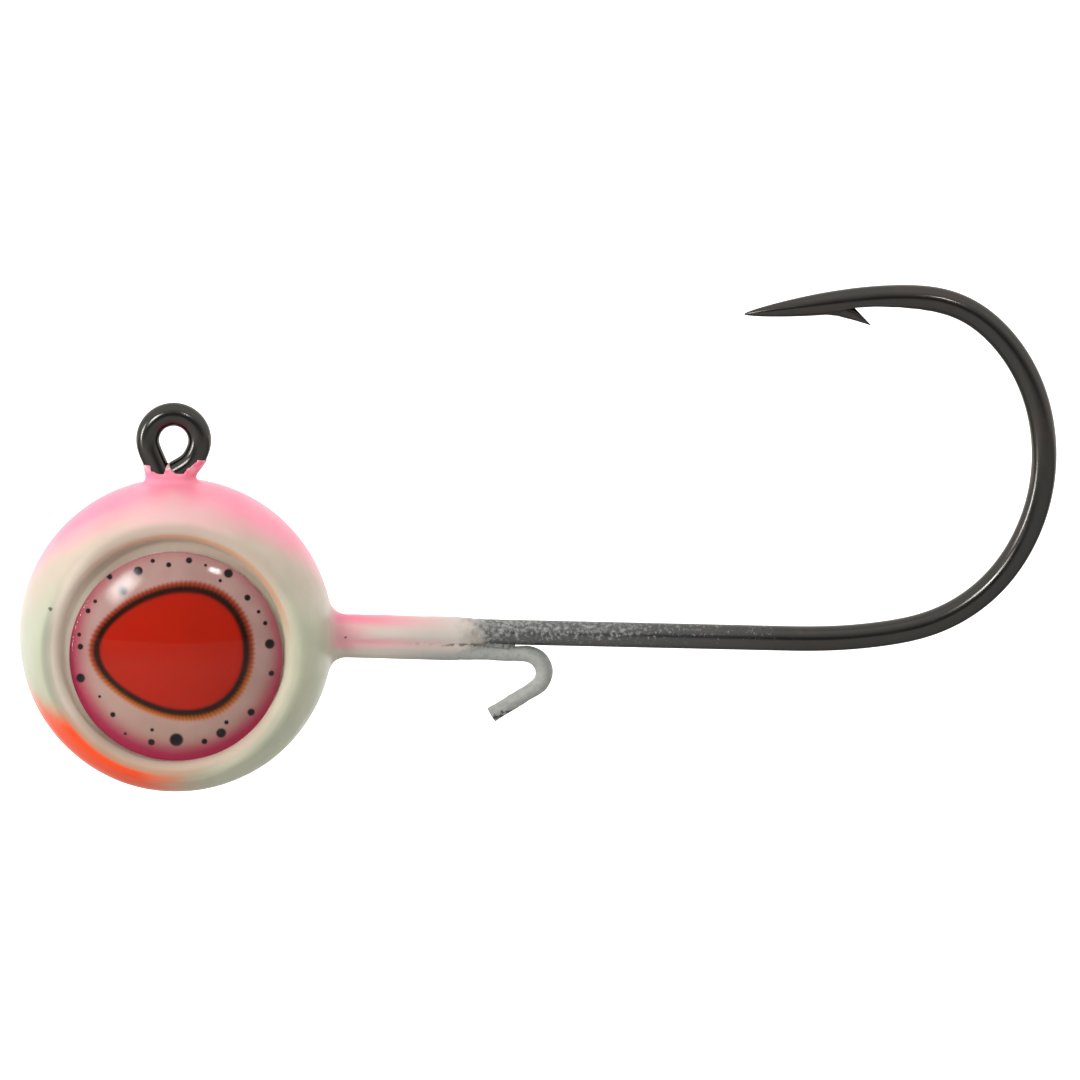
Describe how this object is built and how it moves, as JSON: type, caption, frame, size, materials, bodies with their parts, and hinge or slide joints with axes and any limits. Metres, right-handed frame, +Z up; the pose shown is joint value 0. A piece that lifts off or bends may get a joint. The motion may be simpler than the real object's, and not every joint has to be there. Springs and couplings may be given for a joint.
{
  "type": "jig head",
  "caption": "Ball-shaped lead jig head with domed stick-on eyes, a barbed hook with a line eye, and a bent wire bait keeper under its coated shank.",
  "frame": {"origin": "middle of the line eye's hole, where the line or snap pulls", "axes": "+X back along the shank towards the bend, +Y across the ball from the left eye to the right eye, +Z up from the ball to the line eye"},
  "size_m": [0.0396, 0.0082, 0.0196],
  "materials": {
    "hook_wire": "polished",
    "keeper_wire": "matte",
    "lead": "matte",
    "coat": "satin",
    "adhesive": "matte",
    "eye_film": "gloss",
    "eye_dome": "gloss"
  },
  "bodies": {
    "root": {"hook": "hook_wire", "keeper_wire": "keeper_wire", "lead_head": "lead", "powder_coat": "coat", "eye_adhesive_left": "adhesive", "eye_adhesive_right": "adhesive", "eye_film_left": "eye_film", "eye_film_right": "eye_film", "eye_dome_left": "eye_dome", "eye_dome_right": "eye_dome"}
  },
  "joints": []
}
